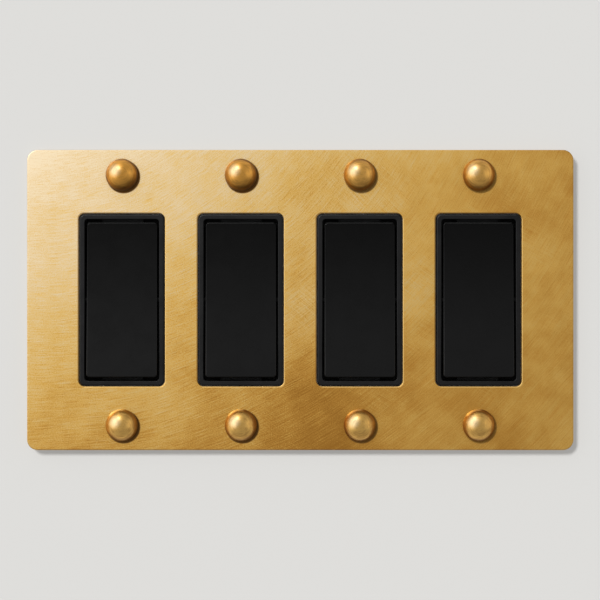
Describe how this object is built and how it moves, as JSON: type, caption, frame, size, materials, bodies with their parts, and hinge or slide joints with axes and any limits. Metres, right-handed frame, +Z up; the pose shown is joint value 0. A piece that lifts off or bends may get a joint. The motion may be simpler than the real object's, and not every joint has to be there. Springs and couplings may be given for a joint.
{
  "type": "rocker light switch",
  "caption": "Multi-gang wall light switch: brushed brass plate with domed screws over black paddle rockers, each working its own strap-mounted contact mechanism.",
  "frame": {"origin": "centre of the face plate on the wall plane, also the centre of the box-screw pattern", "axes": "+X to the right along the row of gangs, +Y into the wall, +Z up"},
  "size_m": [0.2116, 0.0392, 0.1162],
  "materials": {
    "brushed_brass": "hand brushed, aged",
    "dome_brass": "polished, aged",
    "rocker_plastic": "satin black",
    "bezel_plastic": "satin black",
    "housing_plastic": "moulded black",
    "nylon": "natural",
    "zinc_steel": "zinc plated",
    "zinc_screw": "zinc plated",
    "steel": "plain",
    "spring_steel": "drawn",
    "terminal_brass": "stamped",
    "screw_brass": "turned",
    "silver": "satin",
    "green_screw": "green dye",
    "fibre": "fibre board"
  },
  "bodies": {
    "switch_body": {"face_plate": "brushed_brass", "plate_screws": "dome_brass", "fixed_contacts": "silver", "terminal_screws": "screw_brass", "ground_screws": "green_screw", "mounting_screws": "zinc_screw", "screw_retainers": "fibre", "housing_rivets": "steel", "bezel_1": "bezel_plastic", "strap_1": "zinc_steel", "housing_1": "housing_plastic", "carrier_pin_1": "steel", "line_terminal_1": "terminal_brass", "load_terminal_1": "terminal_brass", "toggle_spring_1": "spring_steel", "bezel_2": "bezel_plastic", "strap_2": "zinc_steel", "housing_2": "housing_plastic", "carrier_pin_2": "steel", "line_terminal_2": "terminal_brass", "load_terminal_2": "terminal_brass", "toggle_spring_2": "spring_steel", "bezel_3": "bezel_plastic", "strap_3": "zinc_steel", "housing_3": "housing_plastic", "carrier_pin_3": "steel", "line_terminal_3": "terminal_brass", "load_terminal_3": "terminal_brass", "toggle_spring_3": "spring_steel", "bezel_4": "bezel_plastic", "strap_4": "zinc_steel", "housing_4": "housing_plastic", "carrier_pin_4": "steel", "line_terminal_4": "terminal_brass", "load_terminal_4": "terminal_brass", "toggle_spring_4": "spring_steel"},
    "rocker_1": {"rocker_1": "rocker_plastic"},
    "carrier_1": {"contact_carrier_1": "nylon", "contact_bridge_1": "terminal_brass", "moving_contacts_1": "silver"},
    "rocker_2": {"rocker_2": "rocker_plastic"},
    "carrier_2": {"contact_carrier_2": "nylon", "contact_bridge_2": "terminal_brass", "moving_contacts_2": "silver"},
    "rocker_3": {"rocker_3": "rocker_plastic"},
    "carrier_3": {"contact_carrier_3": "nylon", "contact_bridge_3": "terminal_brass", "moving_contacts_3": "silver"},
    "rocker_4": {"rocker_4": "rocker_plastic"},
    "carrier_4": {"contact_carrier_4": "nylon", "contact_bridge_4": "terminal_brass", "moving_contacts_4": "silver"}
  },
  "joints": [
    {"name": "rocker_1_tilt", "type": "hinge", "parent": "switch_body", "child": "rocker_1", "pos_m": [-0.06906, -0.0032, 0], "axis": [1, 0, 0], "range_deg": [0, 7]},
    {"name": "carrier_1_swing", "type": "hinge", "parent": "switch_body", "child": "carrier_1", "pos_m": [-0.06906, 0.0164, 0], "axis": [1, 0, 0], "range_deg": [-17.5, 0], "deforming": ["toggle_spring_1"]},
    {"name": "rocker_2_tilt", "type": "hinge", "parent": "switch_body", "child": "rocker_2", "pos_m": [-0.02302, -0.0032, 0], "axis": [1, 0, 0], "range_deg": [0, 7]},
    {"name": "carrier_2_swing", "type": "hinge", "parent": "switch_body", "child": "carrier_2", "pos_m": [-0.02302, 0.0164, 0], "axis": [1, 0, 0], "range_deg": [-17.5, 0], "deforming": ["toggle_spring_2"]},
    {"name": "rocker_3_tilt", "type": "hinge", "parent": "switch_body", "child": "rocker_3", "pos_m": [0.02302, -0.0032, 0], "axis": [1, 0, 0], "range_deg": [0, 7]},
    {"name": "carrier_3_swing", "type": "hinge", "parent": "switch_body", "child": "carrier_3", "pos_m": [0.02302, 0.0164, 0], "axis": [1, 0, 0], "range_deg": [-17.5, 0], "deforming": ["toggle_spring_3"]},
    {"name": "rocker_4_tilt", "type": "hinge", "parent": "switch_body", "child": "rocker_4", "pos_m": [0.06906, -0.0032, 0], "axis": [1, 0, 0], "range_deg": [0, 7]},
    {"name": "carrier_4_swing", "type": "hinge", "parent": "switch_body", "child": "carrier_4", "pos_m": [0.06906, 0.0164, 0], "axis": [1, 0, 0], "range_deg": [-17.5, 0], "deforming": ["toggle_spring_4"]}
  ],
  "couplings": [
    {"joint": "carrier_1_swing", "follows": "rocker_1_tilt", "ratio": -2.5},
    {"joint": "carrier_2_swing", "follows": "rocker_2_tilt", "ratio": -2.5},
    {"joint": "carrier_3_swing", "follows": "rocker_3_tilt", "ratio": -2.5},
    {"joint": "carrier_4_swing", "follows": "rocker_4_tilt", "ratio": -2.5}
  ]
}
